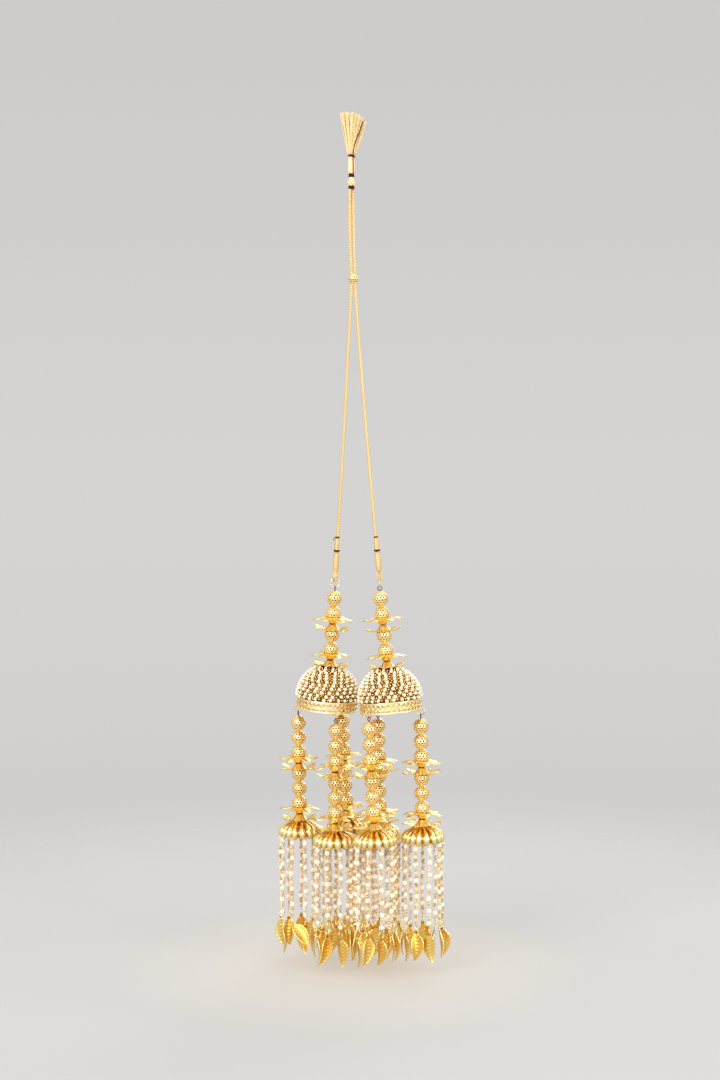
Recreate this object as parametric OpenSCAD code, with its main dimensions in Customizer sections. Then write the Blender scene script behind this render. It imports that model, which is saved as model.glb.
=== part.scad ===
// Pair of bridal hand ornaments on one gold draw-cord, in millimetres.
// The cord runs up through a slider bead to a knot and a fanned tassel.
// Each end carries a stack of filigree balls and flowers over a pearl-set dome,
// and each dome carries three drops that end in a bell with pearl strings and leaves.
// The origin is the hang point at the top of the cord. X is to the right, Y to the back, Z up.

/* [Cord and tassel] */
// Thickness of the gold draw-cord
cord_d = 2.2; // [2:0.1:2.3]
// Diameter of the slider bead that both strands run through
slider_d = 6.5; // [6.4:0.1:8]
// Height of the tassel's tips above the hang point
tassel_h = 49; // [46:1:56]
// Reach of the fanned tassel from its axis
tassel_r = 7.4; // [6:0.2:9]
// Locks of thread round the tassel
tassel_locks = 10; // [8:1:12]

/* [Balls and flowers] */
// Diameter of a filigree ball
ball_d = 9.84; // [9.4:0.02:9.86]
// Distance between the centres of two balls on one pin
ball_pitch = 10; // [10:0.1:10.2]
// Distance from a ball's centre to the collar between two flowers
collar_gap = 7.2; // [7.1:0.1:7.4]
// Diameter of a flower across its petal tips
flower_d = 27; // [22:0.5:27]
// Petals on a flower
petals = 6; // [5:1:6]

/* [Domes] */
// Diameter of a dome's shell under its pearls
dome_d = 40.6; // [40:0.1:41]
// Rows of pearls on a dome
pearl_rows = 9; // [6:1:9]
// Diameter of a pearl on a dome
dome_pearl_d = 2.2; // [2:0.1:2.4]
// Height of the pierced band
band_h = 8; // [7:0.5:9]
// Openings in each row of the pierced band
band_gaps = 30; // [20:1:30]

/* [Drops] */
// Diameter of a bell at its rim
bell_d = 28.2; // [27:0.1:28.4]
// Height of a bell
bell_h = 9.9; // [9:0.1:11]
// Flutes of a bell
bell_lobes = 18; // [12:2:18]
// Pearl strings under a bell
strings = 9; // [7:1:9]
// Thickness of a pearl string
string_d = 2.5; // [2:0.1:3]
// Length of a middling pearl string
string_l = 55; // [50:1:58]
// Length of a leaf
leaf_l = 20; // [16:1:22]
// Width of a leaf
leaf_w = 8; // [6:0.2:8]

/* [Hidden] */
$fn = 64;

// Running gap between pieces that rest on each other
gap = 0.3;
// Radius of a pin's wire, and of the bores that it passes through
pin_r = 0.45;
bore_r = 0.65;
// Walls of the hollow balls, domes and bells
ball_wall = 0.5;
dome_wall = 0.8;
bell_wall = 0.6;
// Jump rings: radius of the circle and of the wire, with the play left to the next ring
ring_r = 2.5;
ring_wire = 0.3;
top_ring_r = 2.9;
top_ring_wire = 0.35;
play = 0.2;
// Eyes at the tops of the pins
eye_r = 1.25;
eye_wire = 0.35;
top_eye_r = 1.4;
top_eye_wire = 0.4;
// Height of the swing point above the first ball
hang = 7.4;
top_hang = 7.5;
// Distance from a collar to the crown of the dome or bell below it
crown_drop = 4.2;

// Columns of PENDANTS: centre of its top ball, lean to the back, lean to the left, bearing of its ring
TOP_BALL = 0;
LEAN_BACK = 1;
LEAN_LEFT = 2;
RING_TURN = 3;
PENDANTS = [
    [[-11.6, 8, -271.9], 2.3, 3.9, 0],
    [[19.4, -8, -271], -2.3, -5.4, 90]
];

// Columns of DROPS: its pendant, bearing on the band, height of its ring hole over the rim,
// lean to the right, bearing of its free side
PENDANT = 0;
BEARING = 1;
HOLE_UP = 2;
LEAN = 3;
FREE_SIDE = 4;
DROPS = [
    [0, 171, 1.2, 0.7, 180],
    [0, -71, 1.2, -0.6, -120],
    [0, 60.5, 2, 2.6, 110],
    [1, -138, 3.4, 2.9, -85],
    [1, 116, 2.4, 1, 45],
    [1, -9, 1.2, 1, 0]
];

// Small differences between the nine strings of a drop, and the turns of their leaves
STRING_EXTRA = [0, 1.4, -0.8, 0.6, -1.4, 1.8, -0.4, 1, -1.8];
LEAF_TURN = [10, -12, 6, -9, 12, -7, 11, -12, 8];

// Routes of the two strands, from under the tassel's binding to the whipped ends
LEFT_ROUTE = [
    [-0.9, -0.8, -0.1], [-1.1, -0.5, -12], [-1.1, -0.2, -25], [-0.7, 0, -38], [-0.2, 0, -50],
    [0, 0, -59], [-0.2, 0.2, -68], [-1.5, 0.8, -95], [-3.1, 1.8, -125], [-5, 3.2, -160],
    [-7, 4.8, -195], [-8.8, 6.2, -222], [-9.6, 6.8, -234], [-10, 7.1, -241]
];
RIGHT_ROUTE = [
    [0.9, 0.8, -0.1], [1.2, 0.5, -12], [1.5, 0.2, -25], [1.8, 0, -38], [2.2, 0, -50],
    [2.4, 0, -59], [2.7, -0.2, -68], [4.6, -0.8, -95], [7, -1.8, -125], [9.9, -3.2, -160],
    [12.9, -4.8, -195], [15.4, -6.2, -222], [16.5, -6.8, -234], [17.1, -7.1, -240.2]
];
ROUTES = [LEFT_ROUTE, RIGHT_ROUTE];
ROUTE_STEPS = 3;
CORD_SIDES = 8;

// Heights of the balls and collars below a pendant's or a drop's first ball
PENDANT_BALLS = [0, -ball_pitch, -ball_pitch - 2 * collar_gap, -2 * (ball_pitch + collar_gap)];
PENDANT_COLLARS = [-ball_pitch - collar_gap, -2 * ball_pitch - 3 * collar_gap];
DROP_BALLS = [for (k = [0 : 5]) -k * ball_pitch - (k > 2 ? 2 * collar_gap - ball_pitch : 0)];
DROP_COLLARS = [DROP_BALLS[2] - collar_gap, DROP_BALLS[5] - collar_gap];

// Dome: half a ball of shell over a short drum, with the band below it
dome_r = dome_d / 2;
dome_top = PENDANT_COLLARS[1] - crown_drop;
dome_centre = dome_top - dome_r;
band_top = dome_centre - 1.3;
rim = band_top - band_h;
band_r = dome_r - 0.1;
band_mid = band_r - dome_wall / 2;
lip = 0.3;

// Bell: profile from the crown to the rim, with how deep its flutes are at each row
bell_top = DROP_COLLARS[1] - crown_drop;
bell_rim = bell_top - bell_h;
bell_r = bell_d / 2;
BELL_ROWS = [
    [3, 0, 0], [6.6, -0.2, 0.4], [10.8, -0.42, 0.8],
    [13.6, -0.6, 1.1], [bell_r, -0.78, 1.2], [13.5, -1, 1]
];
BELL_STEPS = 2 * bell_lobes;
string_ring = bell_r - 1.2;

// Ring and hole at the foot of a string
leaf_ring_r = 1.9;
leaf_ring_wire = 0.25;
leaf_bore = 0.5;
string_foot = 1;

// Leaf: distance from its top, half width, bend and fold, as parts of its length and width
LEAF_ROWS = [
    [0, 0.14, 0, 0], [0.11, 0.14, 0, 0], [0.28, 0.4, 0.1, 0.2],
    [0.48, 0.5, 0.4, 0.35], [0.74, 0.36, 0.7, 0.3], [1, 0.04, 0.5, 0.05]
];
leaf_t = 0.5;
leaf_bend = 0.8;

// A point turned about X and then about Y
function turned(p, back, left) =
    let (y = p.y * cos(back) - p.z * sin(back), z = p.y * sin(back) + p.z * cos(back))
    [p.x * cos(left) + z * sin(left), y, z * cos(left) - p.x * sin(left)];

// A point of a pendant's own frame, whose origin is its top ball, in the part's frame
function pendant_point(i, p) =
    PENDANTS[i][TOP_BALL] + turned(p, PENDANTS[i][LEAN_BACK], PENDANTS[i][LEAN_LEFT]);

// Where a pendant swings on its top ring, and where a drop's ring passes the band
function pendant_pivot(i) = pendant_point(i, [0, 0, top_hang]);
function around(r, bearing, z) = [r * cos(bearing), r * sin(bearing), z];
function ring_hole(d) =
    pendant_point(DROPS[d][PENDANT], around(band_mid, DROPS[d][BEARING], rim + DROPS[d][HOLE_UP]));
function drop_pivot(d) = ring_hole(d) - [0, 0, 2 * ring_r];

// A point of a drop's own frame, whose origin is its first ball, in the part's frame
function drop_point(d, p) = drop_pivot(d) + turned(p - [0, 0, hang], 0, -DROPS[d][LEAN]);

// Centre of the loop at a cord's end, which is the top of the ring's wire
function loop_centre(i) = pendant_pivot(i) + [0, 0, 2 * top_ring_r];

// Strings: bearing, top, length and the centre of the leaf's ring
function string_bearing(k) = k * 360 / strings + 8;
function string_top(d, k) =
    drop_point(d, around(string_ring, string_bearing(k), bell_rim - gap));
function string_length(k) = string_l + STRING_EXTRA[k];
function leaf_ring_centre(d, k) =
    string_top(d, k) - [0, 0, string_length(k) - string_foot + leaf_ring_r];
function free_share(d, k) = max(0, cos(string_bearing(k) - DROPS[d][FREE_SIDE]));
function leaf_bearing(d, k) = string_bearing(k) + LEAF_TURN[k] * (1 + 4 * free_share(d, k));

// Smooth curve through a route's points
function curve_point(a, b, c, d, t) =
    (2 * b + (c - a) * t + (2 * a - 5 * b + 4 * c - d) * t^2 + (3 * b - a - 3 * c + d) * t^3) / 2;
function route_at(route, i) =
    i < 0 ? 2 * route[0] - route[1]
    : i >= len(route) ? 2 * route[len(route) - 1] - route[len(route) - 2]
    : route[i];
function curve(route, steps) = concat(
    [for (i = [0 : len(route) - 2], s = [0 : steps - 1])
        curve_point(route_at(route, i - 1), route[i], route[i + 1], route_at(route, i + 2), s / steps)],
    [route[len(route) - 1]]
);

// Ring of points round a route's point, and the tube through such rings
function unit(v) = v / norm(v);
function heading(route, i) = unit(route[min(i + 1, len(route) - 1)] - route[max(i - 1, 0)]);
function ring_points(p, dir, r, sides) =
    let (u = unit(cross([0, 1, 0], dir)), v = cross(dir, u))
    [for (k = [0 : sides - 1]) p + r * (cos(360 * k / sides) * u + sin(360 * k / sides) * v)];
function wall_faces(rows, sides) =
    [for (i = [0 : rows - 2], k = [0 : sides - 1])
        let (a = i * sides, b = a + sides, m = (k + 1) % sides)
        each [[a + k, b + k, b + m], [a + k, b + m, a + m]]];

module sweep(route, radii, sides) {
    n = len(route);
    points = [for (i = [0 : n - 1]) each ring_points(route[i], heading(route, i), radii[i], sides)];
    first = [for (k = [0 : sides - 1]) k];
    last = [for (k = [sides - 1 : -1 : 0]) (n - 1) * sides + k];
    polyhedron(points, concat([first, last], wall_faces(n, sides)));
}

module torus(r, wire) {
    rotate_extrude() translate([r, 0]) circle(wire);
}

// A ring that stands in the vertical plane of a bearing
module standing_ring(r, wire, bearing) {
    rotate([90, 0, bearing]) torus(r, wire);
}

module in_pendant(i) {
    translate(PENDANTS[i][TOP_BALL])
        rotate([PENDANTS[i][LEAN_BACK], PENDANTS[i][LEAN_LEFT], 0])
            children();
}

module in_drop(d) {
    translate(drop_point(d, [0, 0, 0])) rotate([0, -DROPS[d][LEAN], 0]) children();
}

// Pin with an eye at its top and a flat head under the crown
module eye_pin(pivot_up, r, wire, held_wire, bearing, crown) {
    eye_up = pivot_up + held_wire + play + wire - r;
    head_h = 0.5;
    under = crown - 1.4;
    color("darkgoldenrod") {
        translate([0, 0, eye_up]) standing_ring(r, wire, bearing + 90);
        translate([0, 0, under]) cylinder(r = pin_r, h = eye_up - r - under);
        translate([0, 0, under - head_h]) cylinder(r = 1.3, h = head_h);
    }
}

module ball() {
    difference() {
        sphere(d = ball_d);
        sphere(d = ball_d - 2 * ball_wall);
        cylinder(r = bore_r, h = ball_d + 2, center = true);
    }
}

module balls(heights) {
    color("gold") for (z = heights) translate([0, 0, z]) ball();
}

// Flower: a cone-shaped hub with pointed petals that bend back to its collar
hub_r = 2.3;
hub_mouth = 5.1;
petal_up = 4;
petal_t = 0.4;
petal_half_w = 2.7;
petal_root = 3.4;
petal_r = flower_d / 2;
PETAL_STEPS = 3;

function petal_line(bend, up) =
    [for (k = [0 : PETAL_STEPS])
        let (s = k / PETAL_STEPS)
        [hub_mouth + (petal_r + 0.4 - hub_mouth) * s, petal_up + up - bend * s^1.5]];

module flower_section(bend) {
    top = petal_line(bend, petal_t);
    polygon(concat(
        [[bore_r, gap / 2], [hub_r, gap / 2], [hub_r, 0.7], [3.3, 1.9], [4.3, 3.1]],
        petal_line(bend, 0),
        [for (k = [PETAL_STEPS : -1 : 0]) top[k]],
        [[4.4, 3.7], [3.4, 3], [1.7, 1.9], [bore_r, 1.9]]
    ));
}

module petal_outline() {
    half_l = (petal_r - petal_root) / 2;
    arc_r = (half_l^2 + petal_half_w^2) / (2 * petal_half_w);
    intersection_for (side = [-1, 1])
        translate([petal_root + half_l, side * (arc_r - petal_half_w)]) circle(arc_r);
}

module flower(bend) {
    intersection() {
        rotate_extrude() flower_section(bend);
        linear_extrude(petal_up + 1) {
            circle(hub_mouth - 0.5);
            for (k = [0 : petals - 1]) rotate(k * 360 / petals) petal_outline();
        }
    }
}

// Two flowers back to back at each collar: one under a ball, one over what follows
module flowers(collars, turn) {
    cup_bend = 1.4;
    cap_bend = 1.8;
    color("goldenrod")
        for (z = collars) translate([0, 0, z]) rotate(turn) {
            flower(cup_bend);
            rotate(180 / petals) mirror([0, 0, 1]) flower(cap_bend);
        }
}

module dome_section() {
    inner_r = dome_r - dome_wall;
    row_step = 8.5;
    first_row = 22;
    translate([0, dome_centre]) difference() {
        union() {
            intersection() {
                circle(dome_r);
                square(dome_r);
            }
            for (k = [0 : pearl_rows - 1])
                rotate(90 - first_row - k * row_step) translate([dome_r, 0]) circle(dome_pearl_d / 2);
            translate([inner_r - 0.2, band_top - dome_centre])
                square([dome_wall + 0.2, dome_centre - band_top]);
        }
        circle(inner_r);
    }
    translate([band_r - dome_wall, rim]) square([dome_wall, band_h + 0.2]);
    for (z = [rim, band_top - 1]) translate([band_r - dome_wall, z]) square([dome_wall + lip, 1]);
}

// True where an opening of the band would meet the hole of a drop's ring
function near_ring(i, bearing) =
    len([for (drop = DROPS)
        if (drop[PENDANT] == i && cos(bearing - drop[BEARING]) > cos(6.5)) drop]) > 0;

module band_openings(i) {
    triangle_r = 1.35;
    triangle_up = 2.2;
    round_r = 0.85;
    round_up = 5.6;
    for (k = [0 : band_gaps - 1]) {
        bearing = k * 360 / band_gaps;
        rotate(bearing + 180 / band_gaps) translate([band_mid, 0, rim + round_up])
            rotate([0, 90, 0]) cylinder(r = round_r, h = 3, center = true);
        if (!near_ring(i, bearing))
            rotate(bearing) translate([band_mid, 0, rim + triangle_up])
                rotate([0, 90, 0]) rotate(180) cylinder(r = triangle_r, h = 3, center = true, $fn = 3);
    }
}

module dome(i) {
    ring_bore = 0.6;
    color("gold") in_pendant(i) difference() {
        rotate_extrude() dome_section();
        translate([0, 0, dome_top - 2]) cylinder(r = bore_r, h = 3);
        band_openings(i);
        for (drop = DROPS)
            if (drop[PENDANT] == i)
                rotate(drop[BEARING]) translate([band_mid, 0, rim + drop[HOLE_UP]])
                    rotate([0, 90, 0]) cylinder(r = ring_bore, h = 3, center = true);
    }
}

module drop_rings(i) {
    color("goldenrod")
        for (d = [0 : len(DROPS) - 1])
            if (DROPS[d][PENDANT] == i)
                translate(ring_hole(d) - [0, 0, ring_r])
                    standing_ring(ring_r, ring_wire, DROPS[d][BEARING]);
}

module top_ring(i) {
    color("goldenrod")
        translate(pendant_pivot(i) + [0, 0, top_ring_r])
            standing_ring(top_ring_r, top_ring_wire, PENDANTS[i][RING_TURN]);
}

module pendant_pin(i) {
    in_pendant(i)
        eye_pin(top_hang, top_eye_r, top_eye_wire, top_ring_wire, PENDANTS[i][RING_TURN], dome_top);
}

module pendant_balls(i) {
    in_pendant(i) balls(PENDANT_BALLS);
}

module pendant_flowers(i) {
    in_pendant(i) flowers(PENDANT_COLLARS, 0);
}

module drop_pin(d) {
    in_drop(d) eye_pin(hang, eye_r, eye_wire, ring_wire, DROPS[d][BEARING], bell_top);
}

module drop_balls(d) {
    in_drop(d) balls(DROP_BALLS);
}

module drop_flowers(d) {
    in_drop(d) flowers(DROP_COLLARS, 20 * d);
}

// Fluted shell of a bell, outer wall from the crown to the rim and inner wall back up
function bell_point(row, k, inset) =
    let (
        r = row[0] - inset - (k % 2 == 1 ? row[2] : 0),
        z = bell_top + row[1] * bell_h - (row[1] > -1 ? inset * 1.2 : 0)
    )
    around(r, -k * 360 / BELL_STEPS, z);

module bell_shell() {
    outer = [for (row = BELL_ROWS) [for (k = [0 : BELL_STEPS - 1]) bell_point(row, k, 0)]];
    inner = [for (row = BELL_ROWS) [for (k = [0 : BELL_STEPS - 1]) bell_point(row, k, bell_wall)]];
    n = len(BELL_ROWS);
    rows = concat(outer, [for (i = [n - 1 : -1 : 0]) inner[i]]);
    count = len(rows) * BELL_STEPS;
    closed = [for (face = wall_faces(len(rows) + 1, BELL_STEPS)) [for (p = face) p % count]];
    polyhedron([for (row = rows) each row], closed);
}

module bell(d) {
    crown_r = 3.9;
    crown_t = 1.1;
    color("gold") in_drop(d) {
        bell_shell();
        translate([0, 0, bell_top + 0.1 - crown_t]) difference() {
            cylinder(r = crown_r, h = crown_t);
            translate([0, 0, -1]) cylinder(r = bore_r, h = crown_t + 2);
        }
    }
}

// Outer form of one pearl string, narrowed and drilled at its foot for the leaf's ring
module pearl_string(d, k) {
    length = string_length(k);
    foot_r = 0.9;
    route = [for (z = [0, 3.4 - length, 2.2 - length, -length]) [0, 0, z]];
    translate(string_top(d, k)) difference() {
        sweep(route, [string_d / 2, string_d / 2, foot_r, foot_r], CORD_SIDES);
        translate([0, 0, string_foot - length]) rotate([0, 90, leaf_bearing(d, k)])
            cylinder(r = leaf_bore, h = 4, center = true);
    }
}

module pearl_strings(d) {
    color("ivory") for (k = [0 : strings - 1]) pearl_string(d, k);
}

function leaf_section(row, side) =
    let (
        z = leaf_bore + 0.5 - row[0] * leaf_l,
        w = row[1] * leaf_w,
        x = row[2] * leaf_bend * side,
        fold = row[3] * side
    )
    [
        [x + fold + leaf_t / 2, w, z], [x + leaf_t / 2, 0, z], [x + fold + leaf_t / 2, -w, z],
        [x + fold - leaf_t / 2, -w, z], [x - leaf_t / 2, 0, z], [x + fold - leaf_t / 2, w, z]
    ];

// Pointed leaf, bent and folded along its midrib, with its hole at the origin
module leaf(side) {
    n = len(LEAF_ROWS);
    corners = 6;
    points = [for (row = LEAF_ROWS) each leaf_section(row, side)];
    first = [[0, 1, 4, 5], [1, 2, 3, 4]];
    last = [for (face = first) [for (k = [3 : -1 : 0]) face[k] + (n - 1) * corners]];
    difference() {
        polyhedron(points, concat(first, last, wall_faces(n, corners)));
        rotate([0, 90, 0]) cylinder(r = leaf_bore, h = 4, center = true);
    }
}

module leaves(d) {
    for (k = [0 : strings - 1]) translate(leaf_ring_centre(d, k)) rotate(leaf_bearing(d, k)) {
        color("goldenrod") standing_ring(leaf_ring_r, leaf_ring_wire, 0);
        color("gold") translate([0, 0, -leaf_ring_r]) leaf(k % 2 == 0 ? 1 : -1);
    }
}

module cord(i) {
    route = curve(ROUTES[i], ROUTE_STEPS);
    color("goldenrod") sweep(route, [for (p = route) cord_d / 2], CORD_SIDES);
}

// Whipped end of a strand with the loop that holds the top ring
sleeve_r = 1.9;
loop_wire = 0.65;
loop_r = 1.15;
loop_leg = 3.6;

module cord_end(i) {
    strand = ROUTES[i];
    top = strand[len(strand) - 1];
    foot = loop_centre(i);
    run = unit(top - foot);
    sleeve_h = norm(top - foot) - loop_leg;
    color("goldenrod")
        translate(foot)
            rotate([-asin(run.y), atan2(run.x, run.z), 0])
                rotate(PENDANTS[i][RING_TURN] + 90) {
            rotate([90, 0, 0]) rotate_extrude(angle = 180, start = 180)
                translate([loop_r, 0]) circle(loop_wire);
            for (side = [-1, 1]) translate([side * loop_r, 0, 0])
                cylinder(r = loop_wire, h = loop_leg + 0.2);
            translate([0, 0, loop_leg]) cylinder(r = sleeve_r, h = sleeve_h);
        }
}

// Thread wound round each strand just above its whipped end
module cord_bindings() {
    binding_h = 2.4;
    color("maroon") for (i = [0, 1]) {
        strand = ROUTES[i];
        top = strand[len(strand) - 1];
        run = unit(strand[len(strand) - 2] - top);
        translate(top) rotate([-asin(run.y), atan2(run.x, run.z), 0]) difference() {
            translate([0, 0, 0.1]) cylinder(r = sleeve_r + 0.2, h = binding_h);
            cylinder(r = cord_d / 2 + 0.2, h = binding_h + 1);
        }
    }
}

module slider_bead() {
    strand_gap = (RIGHT_ROUTE[5].x - LEFT_ROUTE[5].x) / 2;
    color("gold") translate([LEFT_ROUTE[5].x + strand_gap, 0, LEFT_ROUTE[5].z]) difference() {
        sphere(d = slider_d);
        cylinder(r = strand_gap + cord_d / 2 + 0.2, h = slider_d + 2, center = true);
    }
}

// Heights of the pieces that follow each other over the hang point
binding_r = 2;
knot_low = 2;
knot_top = 6.5;
middle_low = 7.8;
head_low = 10;
waist = 21.6;

module tassel_bindings() {
    color("maroon") {
        translate([0, 0, LEFT_ROUTE[0].z]) cylinder(r = binding_r, h = knot_low - LEFT_ROUTE[0].z);
        translate([0, 0, middle_low]) cylinder(r = binding_r - 0.1, h = head_low - middle_low);
        translate([0, 0, waist - 0.5]) difference() {
            cylinder(r = binding_r + 0.3, h = 1);
            translate([0, 0, -1]) cylinder(r = binding_r, h = 3);
        }
    }
}

module cord_knot() {
    knot_r = 2.35;
    middle = (knot_low + knot_top) / 2;
    color("goldenrod") {
        translate([0, 0, knot_low]) cylinder(r = 1.5, h = middle_low - knot_low);
        intersection() {
            translate([0, 0, middle]) sphere(r = knot_r);
            translate([0, 0, knot_low]) cylinder(r = 4, h = knot_top - knot_low);
        }
    }
}

// One lock: starts in the head, passes the waist and fans out to its tip
module lock(bearing, reach, top) {
    route = [
        around(0.8, bearing, waist - 4), around(0.9, bearing, waist + 1),
        around(0.25 * reach + 0.7, bearing, waist + 0.35 * (top - waist)),
        around(0.66 * reach, bearing, waist + 0.75 * (top - waist)), around(reach, bearing, top)
    ];
    sweep(route, [0.7, 0.9, 1.2, 1.3, 0.8], 6);
}

module tassel() {
    head_r = 2.35;
    shorter = 3;
    color("goldenrod") {
        translate([0, 0, head_low]) cylinder(r1 = binding_r - 0.1, r2 = head_r, h = 3);
        translate([0, 0, head_low + 3]) cylinder(r = head_r, h = 6);
        translate([0, 0, head_low + 9]) cylinder(r1 = head_r, r2 = binding_r - 0.3, h = 2);
        translate([0, 0, head_low + 11]) cylinder(r = binding_r - 0.3, h = 3);
        for (k = [0 : tassel_locks - 1]) {
            bearing = (k + 0.5) * 360 / tassel_locks;
            lock(bearing, tassel_r, tassel_h - 1 - shorter * cos(bearing));
        }
        for (k = [0 : 3]) lock(k * 90 + 20, tassel_r * 0.4, tassel_h + 1);
    }
}

tassel();
tassel_bindings();
cord_knot();
slider_bead();
cord(0);  // cord_left
cord(1);  // cord_right
cord_end(0);  // cord_end_left
cord_end(1);  // cord_end_right
cord_bindings();
top_ring(0);  // top_ring_left
top_ring(1);  // top_ring_right
pendant_pin(0);  // pin_left
pendant_balls(0);  // balls_left
pendant_flowers(0);  // flowers_left
dome(0);  // dome_left
drop_rings(0);  // drop_rings_left
pendant_pin(1);  // pin_right
pendant_balls(1);  // balls_right
pendant_flowers(1);  // flowers_right
dome(1);  // dome_right
drop_rings(1);  // drop_rings_right
drop_pin(0);  // pin_left_outer
drop_balls(0);  // balls_left_outer
drop_flowers(0);  // flowers_left_outer
bell(0);  // bell_left_outer
pearl_strings(0);  // strings_left_outer
leaves(0);  // leaves_left_outer
drop_pin(1);  // pin_left_front
drop_balls(1);  // balls_left_front
drop_flowers(1);  // flowers_left_front
bell(1);  // bell_left_front
pearl_strings(1);  // strings_left_front
leaves(1);  // leaves_left_front
drop_pin(2);  // pin_left_back
drop_balls(2);  // balls_left_back
drop_flowers(2);  // flowers_left_back
bell(2);  // bell_left_back
pearl_strings(2);  // strings_left_back
leaves(2);  // leaves_left_back
drop_pin(3);  // pin_right_front
drop_balls(3);  // balls_right_front
drop_flowers(3);  // flowers_right_front
bell(3);  // bell_right_front
pearl_strings(3);  // strings_right_front
leaves(3);  // leaves_right_front
drop_pin(4);  // pin_right_back
drop_balls(4);  // balls_right_back
drop_flowers(4);  // flowers_right_back
bell(4);  // bell_right_back
pearl_strings(4);  // strings_right_back
leaves(4);  // leaves_right_back
drop_pin(5);  // pin_right_outer
drop_balls(5);  // balls_right_outer
drop_flowers(5);  // flowers_right_outer
bell(5);  // bell_right_outer
pearl_strings(5);  // strings_right_outer
leaves(5);  // leaves_right_outer
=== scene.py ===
"""A pair of kalire bridal ornaments on one gold draw-cord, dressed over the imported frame.

Sizes are in millimetres until a mesh is made.
"""

import bmesh
import bpy
import numpy as np
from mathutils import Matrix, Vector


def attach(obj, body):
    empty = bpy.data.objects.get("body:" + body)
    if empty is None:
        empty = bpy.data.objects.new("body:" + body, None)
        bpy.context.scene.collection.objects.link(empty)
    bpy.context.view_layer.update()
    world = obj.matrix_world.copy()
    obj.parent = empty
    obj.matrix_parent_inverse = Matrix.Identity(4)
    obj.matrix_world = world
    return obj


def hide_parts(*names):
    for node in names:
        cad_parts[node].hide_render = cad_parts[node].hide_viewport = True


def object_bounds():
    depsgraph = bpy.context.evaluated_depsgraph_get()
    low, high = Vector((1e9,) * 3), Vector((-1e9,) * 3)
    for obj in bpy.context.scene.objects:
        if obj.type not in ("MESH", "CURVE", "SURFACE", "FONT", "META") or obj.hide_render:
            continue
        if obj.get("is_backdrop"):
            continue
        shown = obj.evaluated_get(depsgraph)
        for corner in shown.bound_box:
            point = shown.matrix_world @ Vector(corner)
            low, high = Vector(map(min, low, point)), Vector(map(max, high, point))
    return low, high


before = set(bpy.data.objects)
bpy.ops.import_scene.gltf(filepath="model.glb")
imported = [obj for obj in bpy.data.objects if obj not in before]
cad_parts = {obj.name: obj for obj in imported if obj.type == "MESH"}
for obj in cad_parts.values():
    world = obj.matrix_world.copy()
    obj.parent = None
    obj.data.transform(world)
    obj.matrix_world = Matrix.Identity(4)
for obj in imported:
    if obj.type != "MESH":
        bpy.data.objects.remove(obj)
cad_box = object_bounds()
MM = 0.001

# Camera: level with the lower part of the strands, a little over a metre in front of the pair,
# and tipped slightly down so that the floor under the leaves shows.
camera_data = bpy.data.cameras.new("camera")
camera_data.lens = 62.5
camera = bpy.data.objects.new("camera", camera_data)
camera.location = (0.00567, -1.2489, -0.18)
camera.rotation_euler = (np.radians(87.6), 0, 0)
bpy.context.scene.collection.objects.link(camera)
bpy.context.scene.camera = camera
bpy.context.scene.view_settings.view_transform = "Standard"

# Draw-cord: two strands of a thin braid of metallic gold thread, 2.2 mm thick, each about
# 260 mm long. They run from the wound ends over the pendants, through the slider bead, to the
# binding under the knot.
cord_d = 2.2
STRANDS = {
    "left": [
        (-0.9, -0.8, -0.1), (-1.1, -0.5, -12), (-1.1, -0.2, -25), (-0.7, 0, -38), (-0.2, 0, -50),
        (0, 0, -59), (-0.2, 0.2, -68), (-1.5, 0.8, -95), (-3.1, 1.8, -125), (-5, 3.2, -160),
        (-7, 4.8, -195), (-8.8, 6.2, -222), (-9.6, 6.8, -234), (-10, 7.1, -241),
    ],
    "right": [
        (0.9, 0.8, -0.1), (1.2, 0.5, -12), (1.5, 0.2, -25), (1.8, 0, -38), (2.2, 0, -50),
        (2.4, 0, -59), (2.7, -0.2, -68), (4.6, -0.8, -95), (7, -1.8, -125), (9.9, -3.2, -160),
        (12.9, -4.8, -195), (15.4, -6.2, -222), (16.5, -6.8, -234), (17.1, -7.1, -240.2),
    ],
}
weld = 2e-6
cord_ring_gap = 0.27
cord_sides = 16
plait_pitch = 1.7


class Shade:
    """An output of a shader node. Python's arithmetic on it adds Math nodes."""

    def __init__(self, tree, socket=None):
        self.tree = tree
        self.socket = socket

    def make(self, kind, inputs=None, output=0, stops=None, **settings):
        """Adds a node: settings and ramp stops first, then its inputs' values or links."""
        node = self.tree.nodes.new(kind)
        for name, value in settings.items():
            setattr(node, name, value)
        for number, (place, colour) in enumerate(stops or []):
            ramp = node.color_ramp.elements
            stop = ramp[number] if number < len(ramp) else ramp.new(place)
            stop.position = place
            stop.color = (*colour, 1)
        for name, value in (inputs or {}).items():
            if isinstance(value, Shade):
                self.tree.links.new(value.socket, node.inputs[name])
            else:
                node.inputs[name].default_value = value
        return Shade(self.tree, node.outputs[output] if node.outputs else None)

    def math(self, operation, *values):
        return self.make("ShaderNodeMath", dict(enumerate(values)), operation=operation)

    def __add__(self, other):
        return self.math("ADD", self, other)

    def __sub__(self, other):
        return self.math("SUBTRACT", self, other)

    def __rsub__(self, other):
        return self.math("SUBTRACT", other, self)

    def __mul__(self, other):
        return self.math("MULTIPLY", self, other)

    __radd__ = __add__
    __rmul__ = __mul__

    def blend(self, low, high):
        """The colour low where this is 0 and high where it is 1, by a Mix node's colour sockets."""
        inputs = {0: self, 6: (*low, 1), 7: (*high, 1)}
        return self.make("ShaderNodeMix", inputs, output=2, data_type="RGBA")

    def ramp(self, *stops):
        return self.make("ShaderNodeValToRGB", {0: self}, stops=stops)


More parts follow.
